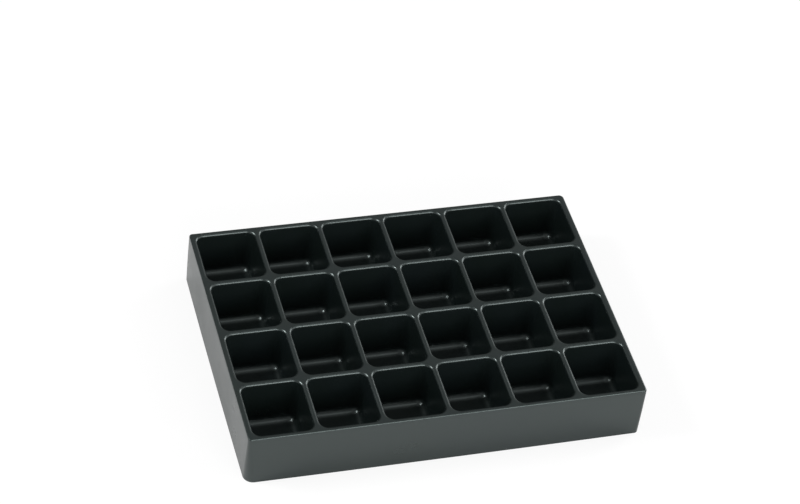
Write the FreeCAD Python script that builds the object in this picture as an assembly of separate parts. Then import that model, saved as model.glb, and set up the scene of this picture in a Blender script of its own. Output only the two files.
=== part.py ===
"""Compartment tray, vacuum-formed as one piece from a plastic sheet.

Twenty-four tapered pockets hang from a narrow deck, in six columns and four rows. The
deck turns down all round into a skirt that is open underneath, and the skirt's trimmed rim
is what the tray stands on. Millimetres, +Z up, with the origin in the middle of the rim's
plane. The columns run along X and the rows along Y, and the front is the -Y side.
"""

import FreeCAD, Part

import math
import os

# Overall size, measured at the skirt's rim
LENGTH = 370.0
WIDTH = 264.0
HEIGHT = 56.0

# Grid of pockets
COLUMNS = 6
ROWS = 4
PITCH_X = 60.3
PITCH_Y = 64.5

# Skirt: nearly upright, with corners that open out towards the rim.
# The corner radii run front left, front right, back right, back left.
SKIRT_DRAFT_DEG = 1.0
DECK_CORNERS = (3.0, 2.5, 5.0, 3.0)
RIM_CORNERS = (9.0, 4.0, 6.0, 5.0)
DECK_EDGE_RADIUS = 1.5

# Pockets: drafted walls with round corners, flared at the mouth and eased into the floor.
# DIVIDER is what two neighbouring walls leave between them at the height of the deck.
DIVIDER = 5.2
POCKET_DEPTH = 45.0
POCKET_DRAFT_DEG = 4.0
POCKET_CORNER = 8.0
FLOOR_CORNER = 4.0
MOUTH_RADIUS = 2.6

# Sheet: the pockets are drawn deepest, so they end up thinner than the skirt and deck
SKIRT_SHEET = 1.2
POCKET_SHEET = 0.9

# Rounds along an edge are made as this many flats, each touching the round in its middle
MOUTH_FLATS = 1
FLOOR_FLATS = 2

# How far a cutting tool runs past the face that it cuts through
OVERRUN = 2.0


def vec(x, y, z):
    """A point in the tray's frame."""
    return FreeCAD.Vector(x, y, z)


def taper(drop, draft_deg):
    """How far a drafted wall moves sideways over a drop."""
    return drop * math.tan(math.radians(draft_deg))


def round_steps(radius, flats):
    """Where the flats round a quarter turn meet, from the level face to the upright one.

    Each place is a distance from the level face and a distance from the upright one.
    """
    turn = math.pi / 2 / (flats + 1)
    reach = radius / math.cos(turn / 2)
    angles = [(i + 0.5) * turn for i in range(flats + 1)]
    return [(radius - reach * math.cos(a), radius - reach * math.sin(a)) for a in angles]


def corner_arc(side_x, side_y, half_x, half_y, radius, z):
    """The start, middle and end of one round corner, taken counter-clockwise."""
    centre_x = side_x * (half_x - radius)
    centre_y = side_y * (half_y - radius)
    middle = math.atan2(side_y, side_x)
    return [
        vec(centre_x + radius * math.cos(turn), centre_y + radius * math.sin(turn), z)
        for turn in (middle - math.pi / 4, middle, middle + math.pi / 4)
    ]


def level_outline(length, width, radii, z, arcs=True):
    """A level rectangle round the Z axis with round corners, or with flats across them."""
    sides = [(-1, -1), (1, -1), (1, 1), (-1, 1)]
    corners = [
        corner_arc(side_x, side_y, length / 2, width / 2, radius, z)
        for (side_x, side_y), radius in zip(sides, radii)
    ]
    edges = []
    for i, (start, middle, end) in enumerate(corners):
        bend = Part.Arc(start, middle, end) if arcs else Part.LineSegment(start, end)
        following = corners[(i + 1) % len(corners)][0]
        edges.append(bend.toShape())
        edges.append(Part.LineSegment(end, following).toShape())
    return Part.Wire(edges)


def wall_between(below, above):
    """The wall from an edge of one outline to the same edge of the next."""
    if not isinstance(below.Curve, Part.Line):
        return Part.makeRuledSurface(below, above)
    start, end = (vertex.Point for vertex in below.Vertexes)
    over_start, over_end = (vertex.Point for vertex in above.Vertexes)
    return Part.Face(Part.makePolygon([start, end, over_end, over_start, start]))


def straight_walled(outlines):
    """A solid with straight walls from each level outline to the next."""
    faces = [Part.Face(outlines[0]), Part.Face(outlines[-1])]
    for lower, upper in zip(outlines, outlines[1:]):
        faces += [wall_between(*pair) for pair in zip(lower.Edges, upper.Edges)]
    shell = Part.Shell(faces)
    shell.sewShape()
    solid = Part.Solid(shell)
    if solid.Volume < 0:
        solid.reverse()
    return solid


def skirt_outline(z, inset):
    """The skirt's outline at a height, moved in from its outer face."""
    share = z / HEIGHT
    radii = [
        max(rim + (deck - rim) * share - inset, 0.5)
        for rim, deck in zip(RIM_CORNERS, DECK_CORNERS)
    ]
    shrink = 2 * (taper(z, SKIRT_DRAFT_DEG) + inset)
    return level_outline(LENGTH - shrink, WIDTH - shrink, radii, z)


def outer_block():
    """The tray's outside as a solid block, with the deck's edge eased."""
    eased = reversed(round_steps(DECK_EDGE_RADIUS, MOUTH_FLATS))
    edge = [skirt_outline(HEIGHT - drop, inset) for drop, inset in eased]
    return straight_walled([skirt_outline(0.0, 0.0)] + edge)


def pocket_outline(depth, outset, arcs=True):
    """A pocket's outline at a depth under the deck, moved out from its wall."""
    shrink = 2 * (taper(depth, POCKET_DRAFT_DEG) - outset)
    corner = max(POCKET_CORNER + outset, FLOOR_CORNER)
    if not arcs:
        # The flat across a corner touches the middle of the round that it stands for
        corner *= 2.0 - math.sqrt(2.0)
    return level_outline(
        PITCH_X - DIVIDER - shrink,
        PITCH_Y - DIVIDER - shrink,
        [corner] * 4,
        HEIGHT - depth,
        arcs,
    )


def pocket_hollow():
    """The open space of one pocket, from its floor up through its flared mouth."""
    floor = [
        pocket_outline(POCKET_DEPTH - rise, -inset)
        for rise, inset in round_steps(POCKET_CORNER, FLOOR_FLATS)
    ]
    mouth = [
        pocket_outline(drop, outset)
        for outset, drop in round_steps(MOUTH_RADIUS, MOUTH_FLATS)
    ]
    outset = round_steps(MOUTH_RADIUS, MOUTH_FLATS)[-1][0]
    return straight_walled(floor + mouth + [pocket_outline(-OVERRUN, outset)])


def pocket_body():
    """The outside of one pocket as seen from underneath, up to the underside of the deck."""
    floor = [
        pocket_outline(POCKET_DEPTH + POCKET_SHEET - rise, POCKET_SHEET - inset, arcs=False)
        for rise, inset in round_steps(POCKET_CORNER + POCKET_SHEET, MOUTH_FLATS)
    ]
    mouth = [
        pocket_outline(SKIRT_SHEET + drop, POCKET_SHEET + outset, arcs=False)
        for outset, drop in round_steps(MOUTH_RADIUS - POCKET_SHEET, MOUTH_FLATS)
    ]
    return straight_walled(floor + mouth)


def on_grid(shape):
    """Copies of a shape, one at the middle of every pocket."""
    copies = []
    for column in range(COLUMNS):
        for row in range(ROWS):
            x = (column - (COLUMNS - 1) / 2) * PITCH_X
            y = (row - (ROWS - 1) / 2) * PITCH_Y
            copy = shape.copy()
            copy.translate(vec(x, y, 0.0))
            copies.append(copy)
    return copies


def underside():
    """The open space inside the skirt, round and under the pockets."""
    inside = straight_walled(
        [
            skirt_outline(-OVERRUN, SKIRT_SHEET),
            skirt_outline(HEIGHT - SKIRT_SHEET, SKIRT_SHEET),
        ]
    )
    return inside.cut(on_grid(pocket_body()))


def formed_sheet():
    """The whole tray: a block hollowed from above by the pockets and from below round them."""
    return outer_block().cut(on_grid(pocket_hollow())).cut(underside())


def main():
    os.makedirs("parts", exist_ok=True)
    tray = formed_sheet().Solids[0]
    print("valid", tray.isValid(), "volume mm3", round(tray.Volume), "faces", len(tray.Faces))
    tray.exportStep("parts/tray.step")


main()
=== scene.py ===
"""Formed insert tray: one black styrene sheet drawn into a grid of pockets, and a plain studio around it.

The sheet's upper face is laid out as rings of points. The pockets are repeated by Geometry Nodes, the deck
and skirt are added round them, and the whole face is then given the sheet's thickness.
"""

import math

import bmesh
import bpy
from mathutils import Matrix, Quaternion, Vector


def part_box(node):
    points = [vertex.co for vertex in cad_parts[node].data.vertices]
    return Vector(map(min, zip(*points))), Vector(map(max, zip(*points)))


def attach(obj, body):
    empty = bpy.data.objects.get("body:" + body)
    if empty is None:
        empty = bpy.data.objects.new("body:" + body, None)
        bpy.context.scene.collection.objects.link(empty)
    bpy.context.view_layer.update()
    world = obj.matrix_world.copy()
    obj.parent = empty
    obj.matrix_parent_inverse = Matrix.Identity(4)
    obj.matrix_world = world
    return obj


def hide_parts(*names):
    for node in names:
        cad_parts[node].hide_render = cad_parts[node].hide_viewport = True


bl_info = {
    "name": "Formed insert tray",
    "version": (1, 0, 0),
    "blender": (4, 5, 0),
    "location": "3D View > Sidebar > Tray",
    "description": "A formed plastic insert tray with a grid of pockets, its finish and a plain studio",
    "category": "Object",
}

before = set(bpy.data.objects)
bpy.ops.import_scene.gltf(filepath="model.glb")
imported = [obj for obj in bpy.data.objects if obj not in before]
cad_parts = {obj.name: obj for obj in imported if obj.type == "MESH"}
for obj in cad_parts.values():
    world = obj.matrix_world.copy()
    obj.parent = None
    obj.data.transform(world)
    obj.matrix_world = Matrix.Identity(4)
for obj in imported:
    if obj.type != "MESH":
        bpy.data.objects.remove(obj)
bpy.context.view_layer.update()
RIM_LOW, DECK_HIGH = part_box("tray")
MM = 0.001

# How finely the sheet is laid out
CORNER_SIGNS = ((-1, -1), (1, -1), (1, 1), (-1, 1))
CORNER_STEPS = 10
EDGE_STEPS = 8
FLOOR_STEPS = 10
SIDE_SHARES = (-0.2, 0.0, 0.2)
SKIRT_SHARES = (0.12, 0.25, 0.4, 0.55, 0.7, 0.85, 0.95, 1.0)
WELD_GAP = 0.02 * MM
THINNING_REACH = 6 * MM
SHARP_ANGLE = math.radians(50)

# Finish of the formed face and of the paler, rougher trimmed edge. The gloss runs over the clouds' range, and
# the fine grain adds its weight to the clouds in the unevenness.
STYRENE_IOR = 1.59
GLOSS_TINT = (0.86, 1.0, 0.98, 1)
FACE_UNEVENNESS = 0.15 * MM
TRIM_UNEVENNESS = 0.3 * MM
TRIM_GLOSS = (0.5, 0.6)
TRIM_PALENESS = 2
CLOUD_RANGE = (0.3, 0.7)
GRAIN_WEIGHT = 0.02

# White floor: its paint, and the shares of plain white that the camera and reflections meet on it
FLOOR_GAP = 0.2 * MM
FLOOR_PAINT = 0.85
FLOOR_SEEN = 0.85
FLOOR_MIRRORED = 0.2

# Surroundings. Heights are the upward part of a direction; the screen is a dark zone low behind the tray.
SKY_SEEN = 1.0
SKY_MIRRORED = 0.1
HORIZON_TOP = 0.1
OVERHEAD_FROM = 0.5
OVERHEAD_LEVEL = 0.378
SCREEN_TOP = (0.35, 0.55)
SCREEN_SIDES = (0.4, 0.65)
SCREEN_DIRECTION = (-0.45, 0.89, 0)
SCREEN_LEVEL = 0.022

# Lamps: name, direction from the tray, distance, size of the panel and power in watts
LAMPS = (
    ("lamp_left", (-0.72, 0.13, 0.68), 2.6, (0.65, 0.65), 44),
    ("lamp_right", (0.80, 0.34, 0.45), 2.6, (1.0, 1.6), 30),
    ("lamp_above", (0.22, -0.28, 0.93), 2.6, (1.0, 0.6), 2.4),
    ("lamp_front", (0.12, -0.88, 0.42), 2.9, (2.4, 1.1), 60),
    ("lamp_side", (0.70, -0.45, 0.54), 2.6, (1.2, 0.8), 10),
)


# ---------------------------------------------------------------- settings

class TraySizes(bpy.types.PropertyGroup):
    """Sizes of the formed sheet."""

    length: bpy.props.FloatProperty(
        name="Length", description="Length over the skirt's rim",
        default=DECK_HIGH.x - RIM_LOW.x, unit="LENGTH")
    width: bpy.props.FloatProperty(
        name="Width", description="Width over the skirt's rim",
        default=DECK_HIGH.y - RIM_LOW.y, unit="LENGTH")
    height: bpy.props.FloatProperty(
        name="Height", description="Height from the rim to the deck",
        default=DECK_HIGH.z - RIM_LOW.z, unit="LENGTH")
    columns: bpy.props.IntProperty(
        name="Columns", description="Pockets along the length", default=6, min=1)
    rows: bpy.props.IntProperty(
        name="Rows", description="Pockets across the width", default=4, min=1)
    pitch_x: bpy.props.FloatProperty(
        name="Pitch along", description="Spacing of the pockets along the length",
        default=60.3 * MM, unit="LENGTH")
    pitch_y: bpy.props.FloatProperty(
        name="Pitch across", description="Spacing of the pockets across the width",
        default=64.5 * MM, unit="LENGTH")
    divider: bpy.props.FloatProperty(
        name="Divider", description="Width of a divider between two pockets' walls, at the deck",
        default=5.2 * MM, unit="LENGTH")
    pocket_depth: bpy.props.FloatProperty(
        name="Pocket depth", description="Depth of a pocket's floor below the deck",
        default=45 * MM, unit="LENGTH")
    pocket_draft: bpy.props.FloatProperty(
        name="Pocket draft", description="Slope of the pockets' walls",
        default=math.radians(4), subtype="ANGLE")
    pocket_corner: bpy.props.FloatProperty(
        name="Pocket corner", description="Radius of a pocket's upright corners",
        default=8 * MM, unit="LENGTH")
    floor_round: bpy.props.FloatProperty(
        name="Floor round", description="Radius between a pocket's walls and floor",
        default=7.8 * MM, unit="LENGTH")
    deck_corners: bpy.props.FloatVectorProperty(
        name="Deck corners", description="Corner radii at the deck, anticlockwise from the front left one",
        size=4, default=(3.0 * MM, 2.5 * MM, 4.5 * MM, 3.0 * MM), unit="LENGTH")
    rim_corners: bpy.props.FloatVectorProperty(
        name="Rim corners", description="Corner radii at the rim, anticlockwise from the front left one",
        size=4, default=(9.0 * MM, 4.0 * MM, 6.0 * MM, 5.0 * MM), unit="LENGTH")
    deck_edge: bpy.props.FloatProperty(
        name="Deck edge", description="Radius between the deck and the skirt",
        default=1.5 * MM, unit="LENGTH")
    skirt_draft: bpy.props.FloatProperty(
        name="Skirt draft", description="Slope of the skirt",
        default=math.radians(1), subtype="ANGLE")
    rim_bow: bpy.props.FloatProperty(
        name="Rim bow", description="How far the rim's corners stand in from the middles of its sides",
        default=0.6 * MM, unit="LENGTH")
    sheet: bpy.props.FloatProperty(
        name="Sheet", description="Thickness of the sheet in the deck and skirt",
        default=1.2 * MM, unit="LENGTH")
    thinning: bpy.props.FloatProperty(
        name="Thinning", description="Share of the sheet's thickness that is left in the pockets",
        default=0.75, subtype="FACTOR")


class SheetFinish(bpy.types.PropertyGroup):
    """Colour and gloss of the sheet."""

    colour: bpy.props.FloatVectorProperty(
        name="Colour", description="Colour of the plastic",
        size=3, subtype="COLOR", default=(0.0041, 0.0067, 0.0051))
    tint: bpy.props.FloatVectorProperty(
        name="Tint", description="Colour that the plastic drifts to in faint clouds",
        size=3, subtype="COLOR", default=(0.0036, 0.0058, 0.0070))
    gloss_low: bpy.props.FloatProperty(
        name="Smoothest", description="Roughness where the surface is smoothest",
        default=0.27, subtype="FACTOR")
    gloss_high: bpy.props.FloatProperty(
        name="Dullest", description="Roughness where the surface is dullest",
        default=0.33, subtype="FACTOR")


class StudioSettings(bpy.types.PropertyGroup):
    """Camera and floor."""

    turn: bpy.props.FloatProperty(
        name="Turn", description="How far the camera stands round to the left of the front",
        default=math.radians(20.19), subtype="ANGLE")
    rise: bpy.props.FloatProperty(
        name="Rise", description="The camera's height as an angle above the deck",
        default=math.radians(43.62), subtype="ANGLE")
    roll: bpy.props.FloatProperty(
        name="Roll", description="The camera's lean to its left",
        default=math.radians(7.97), subtype="ANGLE")
    distance: bpy.props.FloatProperty(
        name="Distance", description="Distance from the camera to the point it looks at",
        default=2.526, unit="LENGTH")
    aim: bpy.props.FloatVectorProperty(
        name="Aim", description="Point on the deck that the camera looks at",
        size=3, default=(0.0067, 0.0772, 0.056), subtype="TRANSLATION", unit="LENGTH")
    lens: bpy.props.FloatProperty(
        name="Lens", description="Focal length in millimetres", default=121.3)
    floor_size: bpy.props.FloatProperty(
        name="Floor", description="Length of the floor's sides", default=12.0, unit="LENGTH")


# ---------------------------------------------------------------- outlines and rings

def rounded_loop(half_x, half_y, radii, steps, stops_x, stops_y):
    """Points of a rounded rectangle, anticlockwise from the front left corner, with a point at each stop."""
    sides = (
        [(x, -half_y) for x in stops_x],
        [(half_x, y) for y in stops_y],
        [(x, half_y) for x in reversed(stops_x)],
        [(-half_x, y) for y in reversed(stops_y)],
    )
    points = []
    for corner, (sign_x, sign_y) in enumerate(CORNER_SIGNS):
        radius = radii[corner]
        centre_x = sign_x * (half_x - radius)
        centre_y = sign_y * (half_y - radius)
        for step in range(steps + 1):
            angle = math.pi + (corner + step / steps) * math.pi / 2
            points.append((centre_x + radius * math.cos(angle), centre_y + radius * math.sin(angle)))
        points.extend(sides[corner])
    return points


def bend(radius, start, end, steps):
    """Sines and cosines, times the radius, of a bend's points from one angle to the other."""
    angles = [start + (end - start) * step / steps for step in range(steps + 1)]
    return [(radius * math.sin(angle), radius * math.cos(angle)) for angle in angles]


def join_rings(mesh, inner, outer):
    """Faces between two rings of equally many points, the outer one anticlockwise from above."""
    count = len(inner)
    for start in range(count):
        end = (start + 1) % count
        mesh.faces.new((outer[start], outer[end], inner[end], inner[start]))


def add_ring(mesh, points, height):
    """Points of an outline, set at a height."""
    return [mesh.verts.new((x, y, height)) for x, y in points]


def pocket_stations(sizes):
    """Inset from the wall's line at the deck, and depth, of each ring from the divider's top to the floor."""
    draft = sizes.pocket_draft
    turn = math.pi / 2 - draft
    reach = sizes.divider / 2
    mouth_radius = reach / math.tan(turn / 2)
    stations = [(-reach + sine, mouth_radius - cosine)
                for sine, cosine in bend(mouth_radius, 0, turn, EDGE_STEPS)]
    middle = sizes.pocket_depth / 2
    stations.append((middle * math.tan(draft), middle))
    flat = sizes.pocket_depth * math.tan(draft) + sizes.floor_round * math.tan(turn / 2)
    stations.extend((flat - cosine, sizes.pocket_depth - sizes.floor_round + sine)
                    for sine, cosine in bend(sizes.floor_round, draft, math.pi / 2, FLOOR_STEPS))
    return stations


def pocket_cell(sizes):
    """One pocket with half of the dividers round it, as a mesh centred on the pocket."""
    mesh = bmesh.new()
    wall_x = (sizes.pitch_x - sizes.divider) / 2
    wall_y = (sizes.pitch_y - sizes.divider) / 2
    stops_x = [share * sizes.pitch_x for share in SIDE_SHARES]
    stops_y = [share * sizes.pitch_y for share in SIDE_SHARES]
    rings = []
    for inset, depth in pocket_stations(sizes):
        radius = sizes.pocket_corner + depth * math.tan(sizes.pocket_draft) - inset
        outline = rounded_loop(wall_x - inset, wall_y - inset, [radius] * 4, CORNER_STEPS, stops_x, stops_y)
        rings.append(add_ring(mesh, outline, sizes.height - depth))
    for outer, inner in zip(rings, rings[1:]):
        join_rings(mesh, inner, outer)
    mesh.faces.new(rings[-1])
    side = CORNER_STEPS + 1 + len(SIDE_SHARES)
    for corner, (sign_x, sign_y) in enumerate(CORNER_SIGNS):
        tip = mesh.verts.new((sign_x * sizes.pitch_x / 2, sign_y * sizes.pitch_y / 2, sizes.height))
        for step in range(CORNER_STEPS):
            start = corner * side + step
            mesh.faces.new((tip, rings[0][start + 1], rings[0][start]))
    data = bpy.data.meshes.new("pocket_cell")
    mesh.to_mesh(data)
    mesh.free()
    return data


def edge_stops(count, pitch, sizes):
    """Where the pockets' cells have points along one side of the grid, its two ends left out."""
    tangent = pitch / 2 - sizes.pocket_corner - sizes.divider / 2
    within = [-tangent, *(share * pitch for share in SIDE_SHARES), tangent]
    stops = []
    for place in range(count):
        centre = (place - (count - 1) / 2) * pitch
        stops.extend(centre + offset for offset in within)
        stops.append(centre + pitch / 2)
    return stops[:-1]


def skirt_stations(sizes):
    """Outset from the deck's sharp outline, and depth, of each ring from the flat land to the rim."""
    turn = math.pi / 2 - sizes.skirt_draft
    reach = sizes.deck_edge * math.tan(turn / 2)
    stations = [(-reach + sine, sizes.deck_edge - cosine)
                for sine, cosine in bend(sizes.deck_edge, 0, turn, EDGE_STEPS)]
    for share in SKIRT_SHARES:
        depth = share * sizes.height
        stations.append((depth * math.tan(sizes.skirt_draft), depth))
    return stations


def deck_and_skirt(sizes):
    """The flat land round the grid of pockets, the deck's edge and the skirt, as a mesh."""
    mesh = bmesh.new()
    grid_x = sizes.columns * sizes.pitch_x / 2
    grid_y = sizes.rows * sizes.pitch_y / 2
    stops_x = edge_stops(sizes.columns, sizes.pitch_x, sizes)
    stops_y = edge_stops(sizes.rows, sizes.pitch_y, sizes)
    flare = sizes.height * math.tan(sizes.skirt_draft)
    deck_x = sizes.length / 2 - flare
    deck_y = sizes.width / 2 - flare
    border = add_ring(mesh, rounded_loop(grid_x, grid_y, [0.0] * 4, 1, stops_x, stops_y), sizes.height)
    rings = []
    for outset, depth in skirt_stations(sizes):
        share = depth / sizes.height
        shrink = depth * math.tan(sizes.skirt_draft) - outset
        radii = [deck + (rim - deck) * share - shrink
                 for deck, rim in zip(sizes.deck_corners, sizes.rim_corners)]
        outline = rounded_loop(deck_x + outset, deck_y + outset, radii, CORNER_STEPS, stops_x, stops_y)
        bow = sizes.rim_bow * share ** 2
        bowed = [(x * (1 - bow / deck_x * (y / deck_y) ** 2), y * (1 - bow / deck_y * (x / deck_x) ** 2))
                 for x, y in outline]
        rings.append(add_ring(mesh, bowed, sizes.height - depth))
    for inner, outer in zip(rings, rings[1:]):
        join_rings(mesh, inner, outer)
    partners = border_partners(border, len(stops_x), len(stops_y))
    land = rings[0]
    for start, vertex in enumerate(land):
        end = (start + 1) % len(land)
        face = [vertex, land[end], partners[end]]
        if partners[start] is not partners[end]:
            face.append(partners[start])
        mesh.faces.new(face)
    bmesh.ops.delete(mesh, geom=[v for v in border if not v.link_faces], context="VERTS")
    data = bpy.data.meshes.new("deck_and_skirt")
    mesh.to_mesh(data)
    mesh.free()
    return data


def border_partners(border, along, across):
    """For each point of a ring with rounded corners, the point of the square-cornered border inside it."""
    partners = []
    place = 0
    for count in (along, across, along, across):
        partners.extend([border[place]] * (CORNER_STEPS + 1))
        partners.extend(border[place + 2:place + 2 + count])
        place += 2 + count
    return partners


# ---------------------------------------------------------------- nodes

NODE_SPACING = 220


def node(tree, kind, place, **values):
    """Adds a node at a place in the editor and sets its inputs by name."""
    made = tree.nodes.new(kind)
    made.location = (place[0] * NODE_SPACING, place[1] * -NODE_SPACING)
    for name, value in values.items():
        made.inputs[name.replace("_", " ")].default_value = value
    return made


def math_node(tree, operation, place, second=None):
    """Adds a Math node, with its second input set where that is a plain number."""
    made = node(tree, "ShaderNodeMath", place)
    made.operation = operation
    if second is not None:
        made.inputs[1].default_value = second
    return made


# ---------------------------------------------------------------- the repeated pockets

def pocket_grid_tree():
    """Geometry Nodes: one pocket's cell set at each place of a grid."""
    tree = bpy.data.node_groups.new("pocket_grid", "GeometryNodeTree")
    sockets = (
        ("Pocket", "NodeSocketObject"), ("Columns", "NodeSocketInt"), ("Rows", "NodeSocketInt"),
        ("Pitch along", "NodeSocketFloat"), ("Pitch across", "NodeSocketFloat"),
        ("Finish", "NodeSocketMaterial"),
    )
    for name, kind in sockets:
        tree.interface.new_socket(name, in_out="INPUT", socket_type=kind)
    tree.interface.new_socket("Pockets", in_out="OUTPUT", socket_type="NodeSocketGeometry")
    link = tree.links.new
    given = node(tree, "NodeGroupInput", (0, 0))
    places = node(tree, "GeometryNodeMeshGrid", (3, 0))
    rules = (("Columns", "Pitch along", "Size X", "Vertices X"),
             ("Rows", "Pitch across", "Size Y", "Vertices Y"))
    for line, (count, pitch, size, points) in enumerate(rules):
        gaps = math_node(tree, "SUBTRACT", (1, line), 1)
        span = math_node(tree, "MULTIPLY", (2, line))
        link(given.outputs[count], gaps.inputs[0])
        link(gaps.outputs[0], span.inputs[0])
        link(given.outputs[pitch], span.inputs[1])
        link(span.outputs[0], places.inputs[size])
        link(given.outputs[count], places.inputs[points])
    pocket = node(tree, "GeometryNodeObjectInfo", (3, 2))
    repeat = node(tree, "GeometryNodeInstanceOnPoints", (4, 0))
    realise = node(tree, "GeometryNodeRealizeInstances", (5, 0))
    finish = node(tree, "GeometryNodeSetMaterial", (6, 0))
    result = node(tree, "NodeGroupOutput", (7, 0))
    link(given.outputs["Pocket"], pocket.inputs["Object"])
    link(places.outputs["Mesh"], repeat.inputs["Points"])
    link(pocket.outputs["Geometry"], repeat.inputs["Instance"])
    link(repeat.outputs["Instances"], realise.inputs["Geometry"])
    link(realise.outputs["Geometry"], finish.inputs["Geometry"])
    link(given.outputs["Finish"], finish.inputs["Material"])
    link(finish.outputs["Geometry"], result.inputs["Pockets"])
    return tree


def add_object(name, data):
    """Puts data into the scene as an object at the origin."""
    piece = bpy.data.objects.new(name, data)
    bpy.context.scene.collection.objects.link(piece)
    return piece


def evaluated_mesh(piece, name):
    """The piece's mesh with its modifiers carried out, as a plain mesh."""
    bpy.context.view_layer.update()
    graph = bpy.context.evaluated_depsgraph_get()
    data = bpy.data.meshes.new_from_object(piece.evaluated_get(graph))
    data.name = name
    return data


def repeated_pockets(sizes, finish):
    """All the pockets as one plain mesh."""
    cell = add_object("pocket_cell", pocket_cell(sizes))
    holder = add_object("pocket_grid", bpy.data.meshes.new("pocket_grid"))
    modifier = holder.modifiers.new("Pockets", "NODES")
    modifier.node_group = pocket_grid_tree()
    values = {
        "Pocket": cell, "Columns": sizes.columns, "Rows": sizes.rows,
        "Pitch along": sizes.pitch_x, "Pitch across": sizes.pitch_y, "Finish": finish,
    }
    for item in modifier.node_group.interface.items_tree:
        if item.in_out == "INPUT":
            modifier[item.identifier] = values[item.name]
    data = evaluated_mesh(holder, "pocket_grid")
    for helper in (holder, cell):
        bpy.data.objects.remove(helper)
    return data


# ---------------------------------------------------------------- finish

def mottle_group():
    """Shader group: a cloudy value, and the height of the surface's faint unevenness."""
    tree = bpy.data.node_groups.new("sheet_mottle", "ShaderNodeTree")
    inputs = (("Vector", "NodeSocketVector", None), ("Cloud Scale", "NodeSocketFloat", 18.0),
              ("Grain Scale", "NodeSocketFloat", 900.0))
    for name, kind, value in inputs:
        socket = tree.interface.new_socket(name, in_out="INPUT", socket_type=kind)
        if value is not None:
            socket.default_value = value
    for name in ("Cloud", "Height"):
        tree.interface.new_socket(name, in_out="OUTPUT", socket_type="NodeSocketFloat")
    given = node(tree, "NodeGroupInput", (0, 0))
    clouds = node(tree, "ShaderNodeTexNoise", (1, 0), Detail=3.0, Roughness=0.55)
    grain = node(tree, "ShaderNodeTexNoise", (1, 1), Detail=2.0, Roughness=0.5)
    weigh = math_node(tree, "MULTIPLY_ADD", (2, 1), GRAIN_WEIGHT)
    result = node(tree, "NodeGroupOutput", (3, 0))
    link = tree.links.new
    link(given.outputs["Vector"], clouds.inputs["Vector"])
    link(given.outputs["Vector"], grain.inputs["Vector"])
    link(given.outputs["Cloud Scale"], clouds.inputs["Scale"])
    link(given.outputs["Grain Scale"], grain.inputs["Scale"])
    link(grain.outputs["Fac"], weigh.inputs[0])
    link(clouds.outputs["Fac"], weigh.inputs[2])
    link(clouds.outputs["Fac"], result.inputs["Cloud"])
    link(weigh.outputs[0], result.inputs["Height"])
    return tree


def styrene(name, colour, tint, roughness, mottle, unevenness):
    """Black styrene: colour drifting between two near blacks, and gloss between two roughnesses."""
    material = bpy.data.materials.new(name)
    material.use_nodes = True
    material.diffuse_color = (*colour, 1)
    tree = material.node_tree
    tree.nodes.clear()
    place = node(tree, "ShaderNodeTexCoord", (0, 0))
    surface = node(tree, "ShaderNodeGroup", (1, 0))
    surface.node_tree = mottle
    shade = node(tree, "ShaderNodeMix", (2, 0))
    shade.data_type = "RGBA"
    shade.inputs["A"].default_value = (*colour, 1)
    shade.inputs["B"].default_value = (*tint, 1)
    gloss = node(tree, "ShaderNodeMapRange", (2, 1), From_Min=CLOUD_RANGE[0], From_Max=CLOUD_RANGE[1],
                 To_Min=roughness[0], To_Max=roughness[1])
    bump = node(tree, "ShaderNodeBump", (2, 2), Strength=1.0, Distance=unevenness)
    plastic = node(tree, "ShaderNodeBsdfPrincipled", (3, 0), IOR=STYRENE_IOR, Specular_Tint=GLOSS_TINT)
    result = node(tree, "ShaderNodeOutputMaterial", (4, 0))
    link = tree.links.new
    link(place.outputs["Object"], surface.inputs["Vector"])
    link(surface.outputs["Cloud"], shade.inputs["Factor"])
    link(surface.outputs["Cloud"], gloss.inputs["Value"])
    link(surface.outputs["Height"], bump.inputs["Height"])
    link(shade.outputs["Result"], plastic.inputs["Base Color"])
    link(gloss.outputs["Result"], plastic.inputs["Roughness"])
    link(bump.outputs["Normal"], plastic.inputs["Normal"])
    link(plastic.outputs["BSDF"], result.inputs["Surface"])
    return material


def background_share(tree, seen, mirrored):
    """Share of plain white: one for the camera and through clear things, another for reflections."""
    rays = node(tree, "ShaderNodeLightPath", (0, 3))
    direct = math_node(tree, "MAXIMUM", (1, 3))
    reflected = math_node(tree, "MULTIPLY", (1, 4), mirrored)
    share = math_node(tree, "MULTIPLY_ADD", (2, 3), seen)
    link = tree.links.new
    link(rays.outputs["Is Camera Ray"], direct.inputs[0])
    link(rays.outputs["Is Transmission Ray"], direct.inputs[1])
    link(rays.outputs["Is Glossy Ray"], reflected.inputs[0])
    link(direct.outputs[0], share.inputs[0])
    link(reflected.outputs[0], share.inputs[2])
    return share.outputs[0]


def white_surface(name):
    """White floor: nearly plain white to the camera, and mostly painted, with its shadows, in reflections."""
    material = bpy.data.materials.new(name)
    material.use_nodes = True
    tree = material.node_tree
    tree.nodes.clear()
    paint = node(tree, "ShaderNodeBsdfDiffuse", (2, 1), Color=(FLOOR_PAINT, FLOOR_PAINT, FLOOR_PAINT, 1))
    glow = node(tree, "ShaderNodeEmission", (2, 2), Color=(1, 1, 1, 1), Strength=1.0)
    blend = node(tree, "ShaderNodeMixShader", (3, 0))
    result = node(tree, "ShaderNodeOutputMaterial", (4, 0))
    link = tree.links.new
    link(background_share(tree, FLOOR_SEEN, FLOOR_MIRRORED), blend.inputs["Fac"])
    link(paint.outputs["BSDF"], blend.inputs[1])
    link(glow.outputs["Emission"], blend.inputs[2])
    link(blend.outputs["Shader"], result.inputs["Surface"])
    return material


# ---------------------------------------------------------------- operators

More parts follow.
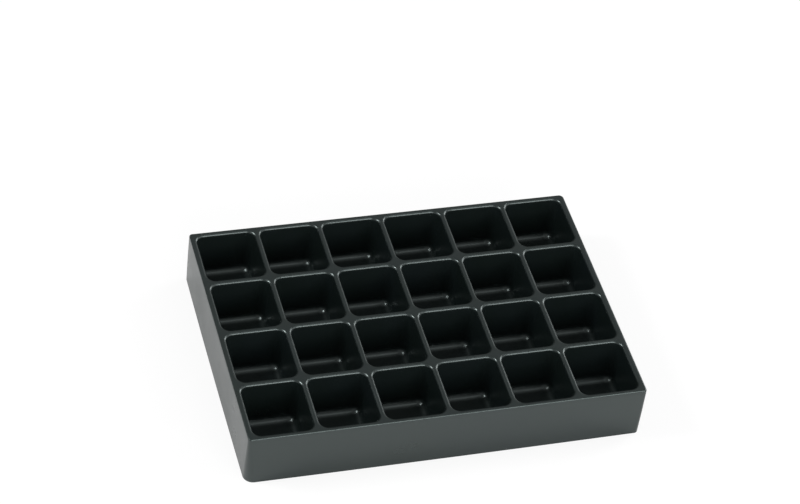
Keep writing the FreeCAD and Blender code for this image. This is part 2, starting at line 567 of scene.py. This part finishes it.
class TRAY_OT_formed_sheet(bpy.types.Operator):
    """Makes the tray: the pockets, deck and skirt as one sheet with its thickness and finish"""

    bl_idname = "tray.formed_sheet"
    bl_label = "Formed sheet"
    bl_options = {"REGISTER", "UNDO"}

    def execute(self, context):
        sizes = context.scene.tray_sizes
        finish = context.scene.tray_finish
        mottle = mottle_group()
        skin = styrene("formed_styrene", finish.colour, finish.tint,
                       (finish.gloss_low, finish.gloss_high), mottle, FACE_UNEVENNESS)
        cut = styrene("trimmed_styrene", [TRIM_PALENESS * level for level in finish.colour], finish.colour,
                      TRIM_GLOSS, mottle, TRIM_UNEVENNESS)
        piece = add_object("formed_sheet", self.upper_face(sizes, skin, cut))
        self.weigh_thickness(piece, sizes)
        thicken = piece.modifiers.new("Sheet", "SOLIDIFY")
        thicken.thickness = sizes.sheet
        thicken.offset = -1
        thicken.use_even_offset = True
        thicken.vertex_group = "thickness"
        thicken.material_offset_rim = 1
        solid = evaluated_mesh(piece, "formed_sheet")
        piece.modifiers.clear()
        piece.vertex_groups.clear()
        # The sheet's inner edge at the rim would otherwise dip a hair below the rim's plane
        for vertex in solid.vertices:
            vertex.co.z = max(vertex.co.z, RIM_LOW.z)
        piece.data = solid
        solid.shade_smooth()
        solid.set_sharp_from_angle(angle=SHARP_ANGLE)
        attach(piece, "root")
        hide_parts("tray")
        return {"FINISHED"}

    @staticmethod
    def upper_face(sizes, skin, cut):
        """The sheet's whole upper face in one mesh, with the trimmed edge's finish as its second material."""
        weld = bmesh.new()
        weld.from_mesh(repeated_pockets(sizes, skin))
        weld.from_mesh(deck_and_skirt(sizes))
        bmesh.ops.remove_doubles(weld, verts=weld.verts, dist=WELD_GAP)
        for face in weld.faces:
            face.material_index = 0
        data = bpy.data.meshes.new("formed_sheet")
        weld.to_mesh(data)
        weld.free()
        data.materials.append(skin)
        data.materials.append(cut)
        return data

    @staticmethod
    def weigh_thickness(piece, sizes):
        """Full thickness in the deck and skirt, and less in the pockets."""
        group = piece.vertex_groups.new(name="thickness")
        edge_x = sizes.columns * sizes.pitch_x / 2
        edge_y = sizes.rows * sizes.pitch_y / 2
        for vertex in piece.data.vertices:
            x, y, z = vertex.co
            inside = abs(x) < edge_x and abs(y) < edge_y
            drawn = min(1, (sizes.height - z) / THINNING_REACH)
            group.add([vertex.index], 1 - (1 - sizes.thinning) * drawn * inside, "REPLACE")


class TRAY_OT_studio(bpy.types.Operator):
    """Sets the white floor and surroundings, the soft lamps and the camera"""

    bl_idname = "tray.studio"
    bl_label = "Studio"
    bl_options = {"REGISTER", "UNDO"}

    def execute(self, context):
        studio = context.scene.tray_studio
        self.lay_floor(studio)
        self.light_surroundings(context.scene)
        for lamp in LAMPS:
            self.hang_lamp(*lamp)
        self.set_camera(context.scene, studio)
        context.scene.view_settings.view_transform = "Standard"
        return {"FINISHED"}

    @staticmethod
    def lay_floor(studio):
        """A flat floor, a hair under the rim."""
        half = studio.floor_size / 2
        data = bpy.data.meshes.new("floor")
        data.from_pydata([(-half, -half, 0), (half, -half, 0), (half, half, 0), (-half, half, 0)],
                         [], [(0, 1, 2, 3)])
        data.transform(Matrix.Translation((0, 0, RIM_LOW.z - FLOOR_GAP)))
        data.materials.append(white_surface("white_floor"))
        add_object("floor", data)

    @staticmethod
    def light_surroundings(scene):
        """White at the horizon, dimmer overhead, dark low behind the tray, and plain white to the camera."""
        world = bpy.data.worlds.new("surroundings")
        world.use_nodes = True
        tree = world.node_tree
        tree.nodes.clear()
        place = node(tree, "ShaderNodeTexCoord", (0, 1))
        axes = node(tree, "ShaderNodeSeparateXYZ", (1, 0))
        dim = node(tree, "ShaderNodeMapRange", (2, 0), From_Min=HORIZON_TOP, From_Max=OVERHEAD_FROM,
                   To_Min=1.0, To_Max=OVERHEAD_LEVEL)
        low = node(tree, "ShaderNodeMapRange", (2, 1), From_Min=SCREEN_TOP[0], From_Max=SCREEN_TOP[1],
                   To_Min=1.0, To_Max=0.0)
        facing = node(tree, "ShaderNodeVectorMath", (1, 2))
        facing.operation = "DOT_PRODUCT"
        facing.inputs[1].default_value = SCREEN_DIRECTION
        behind = node(tree, "ShaderNodeMapRange", (2, 2), From_Min=SCREEN_SIDES[0], From_Max=SCREEN_SIDES[1])
        screen = math_node(tree, "MULTIPLY", (3, 1))
        shaded = node(tree, "ShaderNodeMix", (4, 0))
        shaded.data_type = "FLOAT"
        shaded.inputs["B"].default_value = SCREEN_LEVEL
        level = node(tree, "ShaderNodeMix", (5, 1))
        level.data_type = "FLOAT"
        level.inputs["B"].default_value = 1.0
        glow = node(tree, "ShaderNodeBackground", (6, 1), Color=(1, 1, 1, 1))
        result = node(tree, "ShaderNodeOutputWorld", (7, 1))
        link = tree.links.new
        link(place.outputs["Generated"], axes.inputs["Vector"])
        link(place.outputs["Generated"], facing.inputs[0])
        link(axes.outputs["Z"], dim.inputs["Value"])
        link(axes.outputs["Z"], low.inputs["Value"])
        link(facing.outputs["Value"], behind.inputs["Value"])
        link(low.outputs["Result"], screen.inputs[0])
        link(behind.outputs["Result"], screen.inputs[1])
        link(screen.outputs[0], shaded.inputs["Factor"])
        link(dim.outputs["Result"], shaded.inputs["A"])
        link(background_share(tree, SKY_SEEN, SKY_MIRRORED), level.inputs["Factor"])
        link(shaded.outputs["Result"], level.inputs["A"])
        link(level.outputs["Result"], glow.inputs["Strength"])
        link(glow.outputs["Background"], result.inputs["Surface"])
        scene.world = world

    @staticmethod
    def hang_lamp(name, direction, distance, size, power):
        """A soft rectangular lamp that hangs in a direction from the tray and points at it."""
        light = bpy.data.lights.new(name, "AREA")
        light.shape = "RECTANGLE"
        light.size, light.size_y = size
        light.energy = power
        lamp = add_object(name, light)
        away = Vector(direction).normalized()
        lamp.location = away * distance
        lamp.rotation_euler = away.to_track_quat("Z", "Y").to_euler()

    @staticmethod
    def set_camera(scene, studio):
        """The camera, looking at a point on the deck from the settings' angles."""
        lens = bpy.data.cameras.new("camera")
        lens.lens = studio.lens
        lens.clip_end = 50
        camera = add_object("camera", lens)
        away = Vector((-math.sin(studio.turn) * math.cos(studio.rise),
                       -math.cos(studio.turn) * math.cos(studio.rise), math.sin(studio.rise)))
        camera.location = Vector(studio.aim) + away * studio.distance
        lean = Quaternion((0, 0, 1), studio.roll)
        camera.rotation_euler = (away.to_track_quat("Z", "Y") @ lean).to_euler()
        scene.camera = camera


class TRAY_PT_panel(bpy.types.Panel):
    """Lists the tray's operators and settings"""

    bl_idname = "TRAY_PT_panel"
    bl_label = "Tray"
    bl_space_type = "VIEW_3D"
    bl_region_type = "UI"
    bl_category = "Tray"

    def draw(self, context):
        layout = self.layout
        for settings, operator in ((context.scene.tray_sizes, "tray.formed_sheet"),
                                   (context.scene.tray_finish, None),
                                   (context.scene.tray_studio, "tray.studio")):
            box = layout.box()
            for name in settings.__annotations__:
                box.prop(settings, name)
            if operator:
                box.operator(operator)


CLASSES = (TraySizes, SheetFinish, StudioSettings, TRAY_OT_formed_sheet, TRAY_OT_studio, TRAY_PT_panel)


def register():
    """Registers the classes and hangs the settings on the scene."""
    for made in CLASSES:
        bpy.utils.register_class(made)
    bpy.types.Scene.tray_sizes = bpy.props.PointerProperty(type=TraySizes)
    bpy.types.Scene.tray_finish = bpy.props.PointerProperty(type=SheetFinish)
    bpy.types.Scene.tray_studio = bpy.props.PointerProperty(type=StudioSettings)


def unregister():
    """Takes the settings and the classes away again."""
    del bpy.types.Scene.tray_studio
    del bpy.types.Scene.tray_finish
    del bpy.types.Scene.tray_sizes
    for made in reversed(CLASSES):
        bpy.utils.unregister_class(made)


def main():
    """Makes the tray and the studio, and keeps the boxes."""
    register()
    bpy.ops.tray.formed_sheet()
    bpy.ops.tray.studio()


if __name__ == "__main__":
    main()
